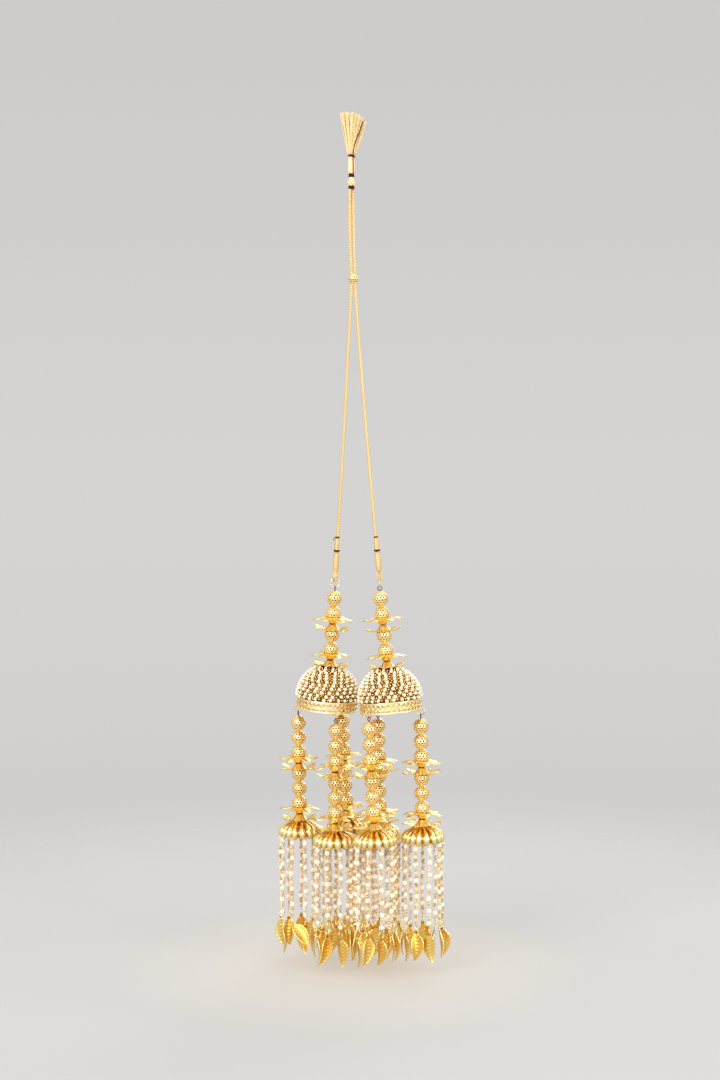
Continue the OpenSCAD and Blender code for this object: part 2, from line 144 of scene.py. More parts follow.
def new_material(name):
    """An empty material, its place on the object and the relief's tone, from 0 to 1: low in
    hollows and high on crests, which the materials paint as shade and light.
    """
    material = bpy.data.materials.new(name)
    material.use_nodes = True
    material.node_tree.nodes.clear()
    start = Shade(material.node_tree)
    place = start.make("ShaderNodeTexCoord", output="Object")
    tone = start.make("ShaderNodeAttribute", output="Fac", attribute_name="tone")
    return material, place, tone


def grain(place, size):
    """Soft cloudy variation, from 0 to 1, in patches of about this size in metres."""
    return place.make("ShaderNodeTexNoise", {"Vector": place, "Scale": 0.5 / size, "Detail": 2.0})


def bumped(height, depth):
    """A normal tilted by this height, whose full step is that deep in metres."""
    return height.make("ShaderNodeBump", {"Height": height, "Distance": depth, "Strength": 1.0})


def finish(start, **inputs):
    """Ends a material in one Principled shader; a space in a socket's name is written _."""
    named = {name.replace("_", " "): value for name, value in inputs.items()}
    shader = start.make("ShaderNodeBsdfPrincipled", named)
    start.make("ShaderNodeOutputMaterial", {"Surface": shader})


def surface(points, tone):
    """A grid of points, rows by columns, as (points, quads, tone).

    Rows run up an outer face and columns anticlockwise round it, the last one next to the first,
    so its quads face outwards.
    """
    rows, columns = points.shape[:2]
    index = np.arange(rows * columns).reshape(rows, columns)
    index = np.column_stack([index, index[:, 0]])
    corners = [index[:-1, :-1], index[:-1, 1:], index[1:, 1:], index[1:, :-1]]
    quads = np.stack(corners, -1).reshape(-1, 4)
    return points.reshape(-1, 3), quads, np.broadcast_to(tone, (rows, columns)).reshape(-1)


def joined(shapes):
    """Several shapes as one, each one's quads counted on from the last one's points."""
    starts = np.cumsum([0] + [len(points) for points, _, _ in shapes[:-1]])
    return (
        np.concatenate([points for points, _, _ in shapes]),
        np.concatenate([quads + start for (_, quads, _), start in zip(shapes, starts)]),
        np.concatenate([tone for _, _, tone in shapes]),
    )


def copies(shape, places, turns=None):
    """The shape once at each place, turned there by its own matrix if turns are given."""
    points, quads, tone = shape
    places = np.atleast_2d(places)
    turned = points if turns is None else np.einsum("kij,pj->kpi", turns, points)
    count = len(places)
    return (
        (turned + places[:, None]).reshape(-1, 3),
        (quads + len(points) * np.arange(count)[:, None, None]).reshape(-1, 4),
        np.tile(tone, count),
    )


def unit(vectors):
    return vectors / np.linalg.norm(vectors, axis=-1, keepdims=True)


def round_angles(count):
    """Evenly spaced angles round a full circle."""
    return 2 * np.pi * np.arange(count) / count


def tube(path, radius, sides, tone=1.0):
    """A round section carried along a path, closed at both ends.

    Each ring stands square to the path, its first point to one side as seen from the front. The
    radius is one number, one to a ring, or rings by sides.
    """
    path = np.asarray(path, float)
    heading = unit(np.gradient(path, axis=0))
    nearly_back = [0.0, 1.0, 0.02]
    across = unit(np.cross(nearly_back, heading))
    along = np.cross(heading, across)
    angle = round_angles(sides)
    radius = np.asarray(radius, float)
    radius = np.broadcast_to(radius[:, None] if radius.ndim == 1 else radius, (len(path), sides))
    ring = across[:, None] * np.cos(angle)[:, None] + along[:, None] * np.sin(angle)[:, None]
    points = path[:, None] + ring * radius[..., None]
    ends = np.broadcast_to(path[[0, -1], None], (2, sides, 3))
    points = np.concatenate([ends[:1], points, ends[1:]])
    tone = np.broadcast_to(tone, (len(path), sides))
    return surface(points, np.concatenate([tone[:1], tone, tone[-1:]]))


def smooth_path(corners, gap):
    """A curve through the corners, with a point about every gap: a cubic between each pair,
    whose slope at a corner is half the step from the corner before it to the one after."""
    corners = np.array(corners, float)
    ends = 2 * corners[[0, -1]] - corners[[1, -2]]
    a, b, c, d = (np.vstack([ends[:1], corners, ends[1:]])[k:len(corners) - 1 + k] for k in range(4))
    t = np.linspace(0, 1, 40, endpoint=False)[:, None, None]
    cubic = 2 * b + (c - a) * t + (2 * a - 5 * b + 4 * c - d) * t**2 + (3 * b - a - 3 * c + d) * t**3
    fine = np.vstack([np.swapaxes(cubic / 2, 0, 1).reshape(-1, 3), corners[-1:]])
    run = np.concatenate([[0], np.cumsum(np.linalg.norm(np.diff(fine, axis=0), axis=1))])
    even = np.linspace(0, run[-1], int(run[-1] / gap) + 1)
    return np.stack([np.interp(even, run, fine[:, k]) for k in range(3)], -1)


def plait(path, radius, sides, pitch, lanes=3, depth=0.16):
    """A braided section: its radius swells along chevrons, which lean one way in one lane and
    the other way in the next, as the threads of a flat braid do. Gives the radius and the tone,
    which is low in the furrows between threads, where it is painted as shade."""
    run = np.linalg.norm(np.diff(path, axis=0, prepend=path[:1]), axis=1).cumsum()[:, None]
    share = np.arange(sides) / sides * lanes
    lean = np.abs(share % 1 - 0.5)
    swell = np.abs(np.cos(np.pi * (run / pitch + lean)))
    furrow = np.abs(np.sin(np.pi * share)) ** 0.5
    height = swell * (0.55 + 0.45 * furrow)
    return radius * (1 - depth + depth * height), height


def piece(name, shape, material, body=None, node=None):
    """One mesh object that rides on a body in a node's place, its coinciding points merged."""
    points, quads, tone = shape
    mesh = bpy.data.meshes.new(name)
    mesh.vertices.add(len(points))
    mesh.vertices.foreach_set("co", (points * MM).ravel())
    mesh.loops.add(quads.size)
    mesh.loops.foreach_set("vertex_index", quads.ravel())
    mesh.polygons.add(len(quads))
    mesh.polygons.foreach_set("loop_start", np.arange(0, quads.size, 4))
    mesh.attributes.new("tone", "FLOAT", "POINT").data.foreach_set("value", tone)
    mesh.update(calc_edges=True)
    merged = bmesh.new()
    merged.from_mesh(mesh)
    bmesh.ops.remove_doubles(merged, verts=merged.verts, dist=weld)
    merged.to_mesh(mesh)
    merged.free()
    mesh.materials.append(material)
    made = bpy.data.objects.new(name, mesh)
    bpy.context.scene.collection.objects.link(made)
    if body:
        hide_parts(node)
        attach(made, body)
    return made


# The cord's tone paints shade in the braid's furrows and light on its threads; the fibre noise is the
# thread's own grain.
cord_gold, place, tone = new_material("cord_gold")
fibre = grain(place, 0.0003)
finish(
    place,
    Base_Color=(tone * 0.8 + fibre * 0.3).ramp(
        (0.1, (0.28, 0.14, 0.03)), (0.55, (0.66, 0.44, 0.16)), (1.0, (0.88, 0.71, 0.4))
    ),
    Roughness=0.62 - tone * 0.2,
    Metallic=0.35,
    Normal=bumped(fibre, 0.00006),
)

strand_paths = {}
for side, corners in STRANDS.items():
    path = smooth_path(corners[::-1], cord_ring_gap)
    radius, height = plait(path, cord_d / 2, cord_sides, plait_pitch)
    strand_paths[side] = path
    braid = tube(path, radius, cord_sides, height)
    node = "cord_" + side
    piece(node + "_braid", braid, cord_gold, "root", node)

# Knot and tassel: above the strands' maroon binding the cord is tied in a small plaited knot,
# bound again, and its threads are combed out into a fan, held by one turn of maroon thread.
# The fan leans to the right, where it is cut lower, and has parted a little left of its middle.
knot_low = 2
knot_top = 6.5
knot_lean = 4.5
tuck = 0.2
head_low = 10
waist = 21.6
head_top = 22.6
tassel_top = 48.8
tassel_reach = 7.6
fan_threads = 300
fan_stretch = 1.14
fan_lean = 1.3
parting_at = -0.25
parting_w = 0.2
golden_turn = 2.39996
thread_radii = [0.3, 0.32, 0.36, 0.36, 0.34, 0.22]
maroon_d = 0.5
tie_r = 0.28
waist_tilt = 0.22
chance = np.random.default_rng(7)


def round_axis(radius, angle, height):
    """Points this far from the vertical axis, at this angle round it and at this height."""
    return np.stack([radius * np.cos(angle), radius * np.sin(angle), height + 0 * angle], -1)


def lathe(radii, heights, columns, tone=1.0, ripple=0.0):
    """A profile turned about the vertical: rows by columns of points, ripple added to the radius."""
    angle = round_angles(columns)
    radius = np.asarray(radii, float)[:, None] + ripple + 0 * angle
    points = round_axis(radius, angle, np.asarray(heights, float)[:, None])
    tone = np.asarray(tone, float)
    return surface(points, tone[:, None] if tone.ndim == 1 else tone)


def wound(radius, low, high, thread, columns=28):
    """Thread wound side by side round a core: the radius dips by 0.4 of a thread between its
    turns, which climb as a helix, and closes to the axis at both ends. Its tone falls in the
    dips between turns, where it is painted as shade."""
    heights = np.linspace(low, high, int((high - low) / thread * 6) + 2)
    turn = heights[:, None] / thread + np.arange(columns) / columns
    swell = np.abs(np.sin(np.pi * turn))
    body = lathe(np.full(len(heights), radius), heights, columns, swell, thread * 0.4 * (swell - 1))
    core = radius * 0.9
    foot, top = lathe([0, core], [low, low], columns), lathe([core, 0], [high, high], columns)
    return joined([foot, body, top])


# The maroon's tone paints shade between the wound turns; the fibre noise is the thread's own grain.
maroon, place, tone = new_material("maroon_thread")
fibre = grain(place, 0.0002)
finish(
    place,
    Base_Color=(tone * 0.7 + fibre * 0.4).ramp(
        (0.1, (0.012, 0.001, 0.002)), (0.7, (0.06, 0.003, 0.007)), (1.0, (0.15, 0.015, 0.022))
    ),
    Roughness=0.75 - fibre * 0.15,
    Specular_IOR_Level=0.15,
    Normal=bumped(fibre, 0.00005),
)
# In the tassel thread the tone is random from fan thread to fan thread, which is real; on the knot and head
# it is painted shade where threads pass under others.
tassel_gold, place, tone = new_material("tassel_thread")
fibre = grain(place, 0.0006)
finish(
    place,
    Base_Color=(tone * 0.75 + fibre * 0.35).ramp(
        (0.05, (0.36, 0.2, 0.06)), (0.45, (0.8, 0.58, 0.27)), (1.0, (0.93, 0.78, 0.49))
    ),
    Roughness=0.6 - fibre * 0.2,
    Metallic=0.15,
    Normal=bumped(fibre, 0.00005),
)

knot_rows = np.linspace(knot_low - tuck, knot_top + tuck, 40)
knot_share = (knot_rows - knot_low + tuck) / (knot_top - knot_low + 2 * tuck)
knot_radius = 1.35 + 1.15 * np.sin(np.pi * knot_share) ** 0.6
knot_turn = round_angles(40)
knot_lay = knot_lean * knot_share[:, None]
# knot_cross, the knot's tone, is low where a plait passes under another: painted shade.
knot_under = 0.6 + 0.4 * np.abs(np.cos(2 * knot_turn - knot_lay))
knot_cross = np.abs(np.cos(2 * knot_turn + knot_lay)) * knot_under
knot_body = lathe(knot_radius, knot_rows, 40, knot_cross, 0.35 * (knot_cross - 0.6))
neck = tube([(0, 0, knot_top - 2 * tuck), (0, 0, 7.2), (0, 0, 8)], 1.5, 24)
piece("knot", joined([knot_body, neck]), tassel_gold, "root", "cord_knot")

TASSEL_WRAPS = [(2.05, -0.1, knot_low), (1.95, 7.8, head_low), (2.45, 20.9, 22.5)]
wraps = [wound(radius, low, high, maroon_d) for radius, low, high in TASSEL_WRAPS]
waist_points = wraps[2][0]
waist_points[:, 2] -= waist_tilt * waist_points[:, 0]
tie = smooth_path([
    (1.2, -2.1, 10.2), (1.2, -2.6, 14), (1.1, -2.6, 20.5), (1.2, -2.8, 24), (2.3, -3.9, 29.3),
    (4.1, -4.6, 34), (6, -4.9, 38.6), (7.8, -5.2, 43.8),
], 1)
wraps.append(tube(tie, tie_r, 8))
piece("tassel_wraps", joined(wraps), maroon, "root", "tassel_bindings")

# Threads start inside the head, pass the waist and part evenly over the fan's slanted top
spread = np.sqrt((np.arange(fan_threads) + 0.5) / fan_threads)
bearing = golden_turn * np.arange(fan_threads)
aim = np.stack([np.cos(bearing), np.sin(bearing)], -1)
share = np.array([0, 0.12, 0.3, 0.5, 0.75, 1])
right = spread * aim[:, 0]
slant = tassel_top - 0.9 * right - 5 * np.clip(right, 0, 1) ** 2 + chance.uniform(-1, 0.6, fan_threads)
parting = 0.45 * np.sign(right - parting_at) * np.exp(-(((right - parting_at) / parting_w) ** 2))
reach = spread * tassel_reach * chance.uniform(0.9, 1.06, fan_threads)
out = 1.75 * spread[:, None] * (1 - share) + reach[:, None] * share**0.92
wave = 0.3 * np.sin(5 * share + bearing[:, None]) * share
lines = np.stack([
    fan_stretch * aim[:, :1] * out + wave * aim[:, 1:] + (fan_lean + parting[:, None]) * share,
    aim[:, 1:] * out - wave * aim[:, :1],
    waist - 0.6 + (slant[:, None] - waist + 0.6) * share,
], -1)
thread_tone = chance.uniform(0.2, 1, fan_threads)
fan = joined([tube(line, thread_radii, 5, shade) for line, shade in zip(lines, thread_tone)])
head_heights = np.array([head_low, 10.4, 11.6, 14, 17, 19.5, 20.8, waist, head_top])
head_radii = np.array([1.7, 1.95, 2.25, 2.35, 2.35, 2.2, 2.0, 1.95, 1.7])
head_turn = round_angles(64)
# The head's tone falls between its strands: painted shade.
strands = np.abs(np.sin(10 * head_turn + 0.12 * head_heights[:, None]))
head = lathe(
    np.pad(head_radii, 1), np.pad(head_heights, 1, mode="edge"), 64,
    np.pad(strands, ((1, 1), (0, 0)), mode="edge"),
    np.pad(0.22 * (strands - 0.7), ((1, 1), (0, 0))),
)
piece("tassel_fan", joined([head, fan]), tassel_gold, "root", "tassel")

# Balls: hollow 10 mm beads stamped from gold-plated brass, pierced all over with round holes
# that have a raised rim. A smaller one slides on the cord, and the rest are threaded on pins.
ball_d = 9.84
slider_d = 6.5
PENDANT_BALLS = [0, -10, -24.4, -34.4]
DROP_BALLS = [0, -10, -20, -34.4, -44.4, -54.4]
slider_at = (1.2, 0, -59)


def gold_finish(name, roughness, deep, bright, pit_shade=(0.05, 0.02, 0.004)):
    """Gold-plated brass with the shade and light of its relief painted in: dark in its pits,
    deeper in its hollows and paler, a painted highlight, on its crests.
    """
    material, place, tone = new_material(name)
    cloud = grain(place, 0.004)
    tarnish = grain(place, 0.0006)
    finish(
        place,
        # The low stops paint shade in pits and hollows and the top stop a pale highlight on crests; cloud and
        # tarnish vary the plating at random.
        Base_Color=(tone * 0.8 + cloud * 0.25 + tarnish * 0.08).ramp(
            (0.14, pit_shade), (0.32, deep), (0.78, bright), (1.0, tuple(0.5 + 0.5 * c for c in bright))
        ),
        Roughness=roughness + tarnish * 0.14 - tone * 0.08,
        Metallic=1.0,
        Normal=bumped(tarnish, 0.00002),
    )
    return material


def hole_ring(sides):
    """Angles round a hole, and places at them on a circle and on the square that holds it."""
    angle = round_angles(sides)
    circle = np.stack([np.cos(angle), np.sin(angle)])
    return angle, circle, circle / np.abs(circle).max(axis=0)


def pierced_ball(diameter, rows=6, columns=14, reach=60):
    """A ball of tiles, staggered from row to row, from reach degrees south to as far north.

    The 8-sided rings of a tile run from its border over a raised rim down into its hole, which
    reaches two thirds of the way to the border.
    """
    radius = diameter / 2
    half_up = np.radians(reach / rows)
    half_round = np.pi / columns
    row, column = (grid.ravel() for grid in np.indices((rows, columns)))
    north = (2 * row + 1 - rows) * half_up
    east = (2 * column + row % 2) * half_round
    hole = 0.66 * radius * np.minimum(half_up, half_round * np.cos(north))
    _, circle, square = hole_ring(8)
    spread = np.array([1.28, 1.04, 0.96, 0])
    depth = np.array([0, 0.14, -0.02, -0.9, -1])
    side = hole[:, None, None] * spread[:, None] * circle[0] / radius / np.cos(north)[:, None, None]
    up = hole[:, None, None] * spread[:, None] * circle[1] / radius
    border = np.ones((rows * columns, 1, 1))
    side = np.concatenate([border * half_round * square[0], side], axis=1) + east[:, None, None]
    up = np.concatenate([border * half_up * square[1], up], axis=1) + north[:, None, None]
    far = radius + depth[:, None]
    # Tones: palest on the raised rim, and 0 on the floor that closes each hole, a dark sheet of painted shade
    # where the ball's hollow inside would show.
    tone = np.array([0.7, 1, 0.35, 0, 0])[:, None]
    tiles = [surface(tile, tone) for tile in round_axis(far * np.cos(up), side, far * np.sin(up))]
    edge = radius * np.cos(np.radians(reach))
    edge_sunk = radius * (1 - np.sin(np.radians(reach)))
    cap_r = np.array([edge, 1.85, 1.75, 1.35, 1.0, 0.7, 0.65, 0])
    cap_z = radius - np.array([edge_sunk, 0.36, 0.12, 0.02, 0.02, 0.16, 1.2, 1.2])
    # The cap's pin hole is closed the same way with tone 0: painted shade.
    cap_tone = np.array([0.75, 0.6, 0.9, 1, 1, 0.6, 0, 0])
    north_cap = lathe(cap_r, cap_z, 20, cap_tone)
    south_cap = lathe(cap_r[::-1], -cap_z[::-1], 20, cap_tone[::-1])
    return joined(tiles + [north_cap, south_cap])


ball_gold = gold_finish("ball_gold", 0.36, (0.72, 0.33, 0.03), (1.0, 0.76, 0.3))
ball = pierced_ball(ball_d)
small_ball = pierced_ball(slider_d, 4, 10)
piece("slider_filigree", copies(small_ball, slider_at), ball_gold, "root", "slider_bead")

# Cord ends: each strand is doubled back into a loop and wound with gold thread, with a maroon
# binding above the winding and a single turn of maroon a little higher, on a thicker stretch.
sleeve_r = 1.75
loop_r = 1.15
leg_r = 0.7
loop_thick = 0.8
collar_r = 1.85
collar_h = 10
wrap_d = 0.4
tail_r = 0.22
top_ring_r = 2.9
# The maroon windings' low and high edges over the sleeve, and their radii
CORD_WRAPS = [(0.3, 1.6, 2.05), (9.5, 10.3, 1.5)]
# Each pendant's top ball, its foot's leans back and left and its top ring's bearing in degrees,
# its cord loop's leg and how many times thicker the loop is made
PENDANTS = {
    "left": {"top": (-11.6, 8, -271.9), "back": 2.3, "left": 3.9, "ring": 0, "leg": 3.5, "flat": 2.3},
    "right": {"top": (19.4, -8, -271), "back": -2.3, "left": -5.4, "ring": 90, "leg": 5.2, "flat": 1},
}
top_hang = 7.5


def turn(axis, degrees):
    """Matrices for turns about one axis, one for each angle."""
    angle = np.radians(degrees)
    cos, sin = np.cos(angle), np.sin(angle)
    matrix = np.zeros((*np.shape(angle), 3, 3))
    matrix[..., axis, axis] = 1
    one, two = (axis + 1) % 3, (axis + 2) % 3
    matrix[..., one, one] = matrix[..., two, two] = cos
    matrix[..., two, one] = sin
    matrix[..., one, two] = -sin
    return matrix


X, Y, Z = 0, 1, 2


def in_pendant(side, points):
    """Points of a pendant's own frame, whose origin is its top ball, in the part's frame."""
    pendant = PENDANTS[side]
    return pendant["top"] + points @ (turn(Y, pendant["left"]) @ turn(X, pendant["back"])).T


def moved(shape, placing, name):
    """The shape with its points put where this placing has the part of this name."""
    return placing(name, shape[0]), shape[1], shape[2]


def turned(shape, matrix):
    return shape[0] @ matrix.T, shape[1], shape[2]


bindings = []
for side, strand in STRANDS.items():
    pendant = PENDANTS[side]
    top = np.array(strand[-1], float)
    foot = in_pendant(side, np.array([0, 0, top_hang])) + [0, 0, 2 * top_ring_r]
    run = unit(foot - top)
    ring = np.radians(pendant["ring"] + 90)
    facing = np.array([np.cos(ring), np.sin(ring), 0])
    across = unit(facing - run * np.dot(facing, run))
    leg = pendant["leg"]
    length = np.linalg.norm(foot - top) - leg
    rows = np.linspace(0, length, 60)
    swell = sleeve_r + 0.3 * np.sin(np.pi * rows / length) - 0.8 * np.clip(rows / length - 0.75, 0, 1)
    angle = round_angles(40)
    # The sleeve's tone, low between the wound threads, paints shade there; the loop and the thicker stretch
    # take the braid's painted shade in their furrows.
    lay = np.abs(np.sin(8 * angle + rows[:, None] * 0.9)) * (0.7 + 0.3 * np.abs(np.cos(rows[:, None] * 2.2)))
    sleeve = tube(top + rows[:, None] * run, swell[:, None] - 0.2 * (1 - lay), 40, lay)
    half = np.linspace(0, np.pi, 28)
    legs = np.linspace(leg + 1, 0.2, 16)
    near = np.clip(1 - legs / leg, 0, 1)
    apart = (leg_r + (loop_r - leg_r) * near + 0.4 * np.sin(np.pi * near))[:, None] * across
    loop_path = np.concatenate([
        foot - run * legs[:, None] + apart,
        foot + run * (np.sin(half) * loop_r)[:, None] + across * (np.cos(half) * loop_r)[:, None],
        foot - run * legs[::-1, None] - apart[::-1],
    ])
    radius, height = plait(loop_path, loop_thick, 12, 1.3)
    loop = tube(loop_path, radius, 12, height)
    sideways = unit(np.cross(run, across))
    offset = (loop[0] - foot) @ sideways
    loop = (loop[0] + (pendant["flat"] - 1) * offset[:, None] * sideways, *loop[1:])
    path = strand_paths[side]
    rise = path[:, 2] - top[2]
    thick = path[(rise > 1) & (rise < collar_h)][::2]
    radius, height = plait(thick, collar_r, 20, 1.2, 5)
    taper = 1 - 0.28 * np.clip((thick[:, 2] - top[2]) / collar_h, 0, 1) ** 3
    collar = tube(thick, radius * taper[:, None], 20, height)
    winding = joined([sleeve, loop, collar])
    node = "cord_end_" + side
    piece(node + "_winding", winding, cord_gold, "root", node)
    # The wound rings stand across the strand where they are
    for low, high, size in CORD_WRAPS:
        start = path[np.searchsorted(rise, low)]
        heading = unit(path[np.searchsorted(rise, high) + 4] - start)
        aslant = np.degrees(np.arctan2(heading[0], heading[2]))
        lean = turn(Y, aslant) @ turn(X, -np.degrees(np.arcsin(heading[1])))
        bindings.append(copies(turned(wound(size, 0, high - low, wrap_d), lean), start))
tail = smooth_path([(-10.6, 5.6, -230.6), (-11.6, 5.2, -231.4), (-12.2, 5, -232.9)], 0.3)
bindings.append(tube(tail, tail_r, 8))
piece("cord_wraps", joined(bindings), maroon, "root", "cord_bindings")

# Rings and pins: jump rings of plated wire join the parts, and each stack of balls and flowers
# is threaded on a pin of darkened wire that ends in an eye. These are the frame's own solids.
ring_gold = gold_finish("ring_gold", 0.3, (0.3, 0.16, 0.04), (0.78, 0.56, 0.24))
pin_bronze = gold_finish("pin_bronze", 0.4, (0.04, 0.018, 0.008), (0.15, 0.07, 0.03), (0.02, 0.01, 0.005))
for name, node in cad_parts.items():
    if name.startswith(("pin_", "top_ring_", "drop_rings_")):
        node.data.materials.clear()
        node.data.materials.append(pin_bronze if name.startswith("pin_") else ring_gold)
        solid = node.data.attributes.new("tone", "FLOAT", "POINT")
        solid.data.foreach_set("value", np.full(len(node.data.vertices), 0.8))

# Pendants: four balls and two pairs of flowers on a pin. A flower is stamped from thin brass,
# a ribbed hub with six pointed petals that have a rib, veins and a beaded edge. Two stand back
# to back at each collar, and no two petals are bent quite alike.
PENDANT_COLLARS = [-17.2, -41.6]
DROP_COLLARS = [-27.2, -61.6]
BALL_SPINS = np.array([0.0, 50, 20, 75, 35, 10])
petal_root = 3.4
petal_tip = 13.6
petal_half_w = 3.1
hub_mouth = 5.1
petal_up = 4
cup_bend = 1.4
cap_bend = 1.8
petals = 6
hub_ribs = 18
# Radius, height, depth of ribs and spread towards the petals, up outside and down inside
HUB = [
    (0.65, 0.15, 0, 0), (2.15, 0.15, 0, 0), (2.4, 0.4, 0.1, 0), (2.55, 0.8, 0.5, 0),
    (3.05, 1.6, 1, 0), (3.6, 2.3, 1, 0), (4.15, 3, 1, 0.1), (4.7, 3.6, 1, 0.3), (5.2, 4, 0.8, 0.6),
    (5.4, 4.25, 0.6, 0.7), (5.1, 4.45, 0.5, 0.6), (4.5, 4, 0.3, 0.2), (3.4, 3, 0, 0),
    (1.7, 1.9, 0, 0), (0.65, 1.9, 0, 0),
]


def petals_shape(bend):
    """Six petals, each a lens between two arcs, carried along its length as a thin closed
    section that is arched across. Its height falls with the 1.5th power of the distance from
    the hub, and its faces rise in a rib, slanting veins and a row of beads inside each edge."""
    along = 0.5 - 0.5 * np.cos(np.pi * np.linspace(0, 1, 15))
    around = round_angles(16)
    reach = petal_root + (petal_tip - petal_root) * along
    half = (petal_tip - petal_root) / 2
    arc = (half**2 + petal_half_w**2) / 2 / petal_half_w
    width = np.sqrt(arc**2 - (reach - petal_root - half) ** 2) - arc + petal_half_w
    across, face = np.cos(around), np.sin(around)
    edge = np.abs(across)
    beads = np.exp(-(((edge - 0.9) / 0.16) ** 2)) * (0.6 + 0.4 * np.cos(2 * np.pi * 7 * along[:, None]))
    rib = np.exp(-((edge / 0.2) ** 2))
    veins = np.cos(np.pi * (6 * along[:, None] - 1.6 * edge)) ** 2 * (edge < 0.8)
    relief = np.maximum(np.maximum(beads, rib), 0.55 * veins)
    thick = np.sign(face) * (0.25 * np.abs(face) ** 0.5 + 0.25 * relief) * np.clip(width / 0.6, 0, 1)[:, None]
    past = np.clip((reach - hub_mouth) / (petal_tip - hub_mouth), 0, 1)
    shapes = []
    for number in range(petals):
        tip, twist, swing = chance.uniform(-1, 1, 3)
        side = width[:, None] * across
        height = petal_up + 0.2 - bend * past**1.5 + 0.9 * tip * past**2
        wave = 0.45 * np.sin(6 * past + 3 * twist) * past
        arch = 0.9 * (width / petal_half_w)[:, None] * across**2
        height = (height + wave)[:, None] + thick + side * 0.13 * twist - arch * past[:, None]
        points = np.stack([np.broadcast_to(reach[:, None], side.shape), side, height], -1)
        # The tone is low on the petal's flat and high on its rib, veins and beads: painted shade and light of
        # the relief.
        petal = surface(points[:, ::-1], (0.35 + 0.65 * relief)[:, ::-1])
        shapes.append(turned(petal, turn(Z, 360 / petals * number + 4 * swing)))
    return joined(shapes)


def flower_shape(bend):
    """Hub and petals of one flower that opens upwards: a ribbed cone under the petals."""
    columns = 3 * hub_ribs
    radii, heights, ribbed, mouth = np.array(HUB).T
    angle = round_angles(columns)
    wave = np.cos(hub_ribs * angle)
    # Tone: lighter on the ribs and darker between them, painted light and shade, and darker at the hub's
    # foot, where the two flowers of a collar meet: painted shade.
    tone = 0.62 + 0.33 * wave * ribbed[:, None] - 0.6 * np.clip(1.2 - heights, 0, 1)[:, None]
    ripple = 0.14 * wave * ribbed[:, None] + 0.4 * mouth[:, None] * np.cos(petals * angle)
    return joined([lathe(radii, heights, columns, tone, ripple), petals_shape(bend)])


def flipped(shape):
    """The shape turned upside down by a mirror, with its quads turned back to face outwards."""
    return shape[0] * [1, 1, -1], shape[1][:, ::-1], shape[2]


def flower_stack(collars, bearing):
    """At each collar a flower that cups the ball above and one that caps what follows."""
    shapes = []
    for height in collars:
        cup = turned(flower_shape(cup_bend), turn(Z, bearing))
        cap = turned(flipped(flower_shape(cap_bend)), turn(Z, bearing + 180 / petals))
        shapes += [copies(cup, (0, 0, height)), copies(cap, (0, 0, height))]
    return joined(shapes)


def dress_pin(name, body, placing, ball_heights, spins, collars, bearing):
    """The balls and flowers threaded on one pin, put through a placing: a piece of each."""
    places = np.array([(0, 0, height) for height in ball_heights], float)
    stack = moved(copies(ball, places, turn(Z, spins)), placing, name)
    piece("filigree_" + name, stack, ball_gold, body, "balls_" + name)
    stack = moved(flower_stack(collars, bearing), placing, name)
    piece("petals_" + name, stack, flower_gold, body, "flowers_" + name)


flower_gold = gold_finish("flower_gold", 0.28, (0.84, 0.44, 0.04), (1.0, 0.78, 0.28))
for side in PENDANTS:
    dress_pin(side, "pendant_" + side, in_pendant, PENDANT_BALLS, BALL_SPINS[:4], PENDANT_COLLARS, 0)

# Domes: half a ball of brass set all over with cream pearls in staggered rows, each in a gold
# bezel, with gold grains between them. Under it is a pierced gold band.
dome_r = 20.3
dome_wall = 0.8
dome_centre = -66.1
band_top = -67.4
rim = -75.4
band_r = 20.2
dome_pearl_d = 2
pearl_pitch = 5
pearl_rows = 11
first_row = 22
row_step = 6.8
pearl_lift = 0.75
bezel_r = 1.15
bezel_wire = 0.26
bezel_lift = 0.25
grain_lift = 0.2
grain_below = 3.2
last_grain = 92
band_columns = 38
rope_twists = 60


def bead(diameter, columns, rows, squash=1.0, tone=1.0):
    """A round bead: half a circle turned about the vertical, squashed along it."""
    north = np.linspace(-np.pi / 2, np.pi / 2, rows)
    return lathe(diameter / 2 * np.cos(north), diameter / 2 * squash * np.sin(north), columns, tone)


def torus(radius, wire, columns, rows, tone):
    """A ring of round wire that lies flat."""
    angle = -2 * np.pi * np.arange(rows + 1) / rows
    return lathe(radius - wire * np.cos(angle), wire * np.sin(angle), columns, tone)


def on_dome(crown_angle, bearing, lift):
    """Places on the dome at angles from its crown, and matrices that stand a shape up there."""
    turns = turn(Z, bearing) @ turn(Y, crown_angle)
    return turns[:, :, 2] * (dome_r + lift) + [0, 0, dome_centre], turns


pearl_cream, place, _ = new_material("pearl_cream")
lustre = grain(place, 0.003)
finish(
    place,
    Base_Color=lustre.ramp((0.3, (0.93, 0.76, 0.52)), (0.5, (1.0, 0.88, 0.7)), (0.75, (1.0, 0.95, 0.84))),
    Roughness=0.28 - lustre * 0.12,
    Coat_Weight=0.6,
    Coat_Roughness=0.12,
    Sheen_Weight=0.15,
    # A faint warm glow of the pearls' own: painted light.
    Emission_Color=(1.0, 0.9, 0.75, 1),
    Emission_Strength=0.03,
)
shell_brass = gold_finish("shell_brass", 0.42, (0.13, 0.055, 0.012), (0.95, 0.68, 0.3), (0.05, 0.02, 0.005))
dome_gold = gold_finish("dome_gold", 0.28, (0.6, 0.3, 0.05), (1.0, 0.7, 0.26))
band_gold = gold_finish("band_gold", 0.3, (0.8, 0.44, 0.07), (1.0, 0.76, 0.3))

